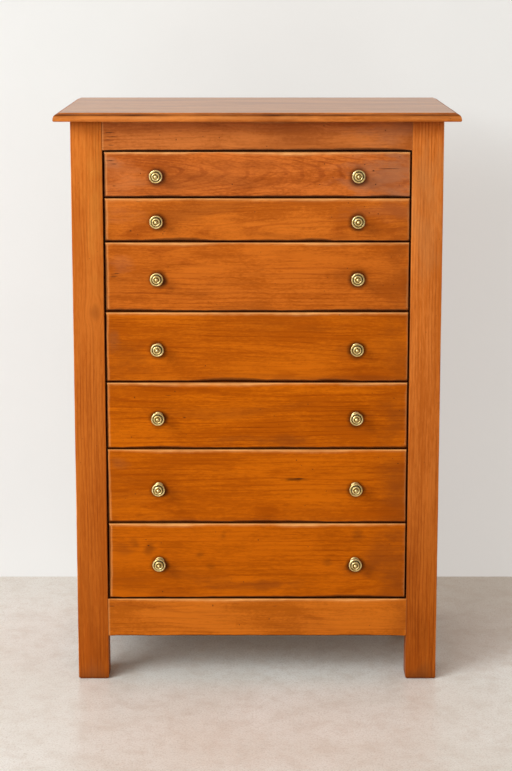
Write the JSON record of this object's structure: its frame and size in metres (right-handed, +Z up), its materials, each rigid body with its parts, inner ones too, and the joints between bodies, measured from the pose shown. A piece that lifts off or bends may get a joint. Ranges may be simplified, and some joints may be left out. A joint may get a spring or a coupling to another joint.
{
  "type": "semainier",
  "caption": "Tall narrow wooden chest of graduated inset drawers with small turned brass knobs, on straight square post legs, under an overhanging moulded top",
  "frame": {"origin": "On the floor, under the middle of the top board", "axes": "+X to the right seen from the front, +Y to the back, +Z up; the drawers open towards -Y"},
  "size_m": [0.844, 0.48, 1.24],
  "materials": {
    "show_wood": "waxed, worn at the edges",
    "inner_wood": "planed, left bare",
    "aged_brass": "aged, dark in grooves",
    "steel": "dulled zinc plate"
  },
  "bodies": {
    "carcass": {"top_board": "show_wood", "front_left_post": "show_wood", "front_right_post": "show_wood", "rear_left_post": "show_wood", "rear_right_post": "show_wood", "frieze_rail": "show_wood", "bottom_rail": "show_wood", "upper_side_rails": "show_wood", "lower_side_rails": "show_wood", "left_side_panel": "show_wood", "right_side_panel": "show_wood", "rear_rails": "inner_wood", "back_panel": "inner_wood", "divider_rails": "inner_wood", "drawer_runners": "inner_wood", "drawer_guides": "inner_wood", "top_fixing_blocks": "inner_wood", "wood_screws": "steel"},
    "drawer_1": {"drawer_1_front": "show_wood", "drawer_1_left_side": "inner_wood", "drawer_1_right_side": "inner_wood", "drawer_1_back": "inner_wood", "drawer_1_bottom": "inner_wood", "drawer_1_knobs": "aged_brass"},
    "drawer_2": {"drawer_2_front": "show_wood", "drawer_2_left_side": "inner_wood", "drawer_2_right_side": "inner_wood", "drawer_2_back": "inner_wood", "drawer_2_bottom": "inner_wood", "drawer_2_knobs": "aged_brass"},
    "drawer_3": {"drawer_3_front": "show_wood", "drawer_3_left_side": "inner_wood", "drawer_3_right_side": "inner_wood", "drawer_3_back": "inner_wood", "drawer_3_bottom": "inner_wood", "drawer_3_knobs": "aged_brass"},
    "drawer_4": {"drawer_4_front": "show_wood", "drawer_4_left_side": "inner_wood", "drawer_4_right_side": "inner_wood", "drawer_4_back": "inner_wood", "drawer_4_bottom": "inner_wood", "drawer_4_knobs": "aged_brass"},
    "drawer_5": {"drawer_5_front": "show_wood", "drawer_5_left_side": "inner_wood", "drawer_5_right_side": "inner_wood", "drawer_5_back": "inner_wood", "drawer_5_bottom": "inner_wood", "drawer_5_knobs": "aged_brass"},
    "drawer_6": {"drawer_6_front": "show_wood", "drawer_6_left_side": "inner_wood", "drawer_6_right_side": "inner_wood", "drawer_6_back": "inner_wood", "drawer_6_bottom": "inner_wood", "drawer_6_knobs": "aged_brass"},
    "drawer_7": {"drawer_7_front": "show_wood", "drawer_7_left_side": "inner_wood", "drawer_7_right_side": "inner_wood", "drawer_7_back": "inner_wood", "drawer_7_bottom": "inner_wood", "drawer_7_knobs": "aged_brass"}
  },
  "joints": [
    {"name": "drawer_1_slide", "type": "slide", "parent": "carcass", "child": "drawer_1", "axis": [0, -1, 0], "range_m": [0, 0.3]},
    {"name": "drawer_2_slide", "type": "slide", "parent": "carcass", "child": "drawer_2", "axis": [0, -1, 0], "range_m": [0, 0.3]},
    {"name": "drawer_3_slide", "type": "slide", "parent": "carcass", "child": "drawer_3", "axis": [0, -1, 0], "range_m": [0, 0.3]},
    {"name": "drawer_4_slide", "type": "slide", "parent": "carcass", "child": "drawer_4", "axis": [0, -1, 0], "range_m": [0, 0.3]},
    {"name": "drawer_5_slide", "type": "slide", "parent": "carcass", "child": "drawer_5", "axis": [0, -1, 0], "range_m": [0, 0.3]},
    {"name": "drawer_6_slide", "type": "slide", "parent": "carcass", "child": "drawer_6", "axis": [0, -1, 0], "range_m": [0, 0.3]},
    {"name": "drawer_7_slide", "type": "slide", "parent": "carcass", "child": "drawer_7", "axis": [0, -1, 0], "range_m": [0, 0.3]}
  ]
}
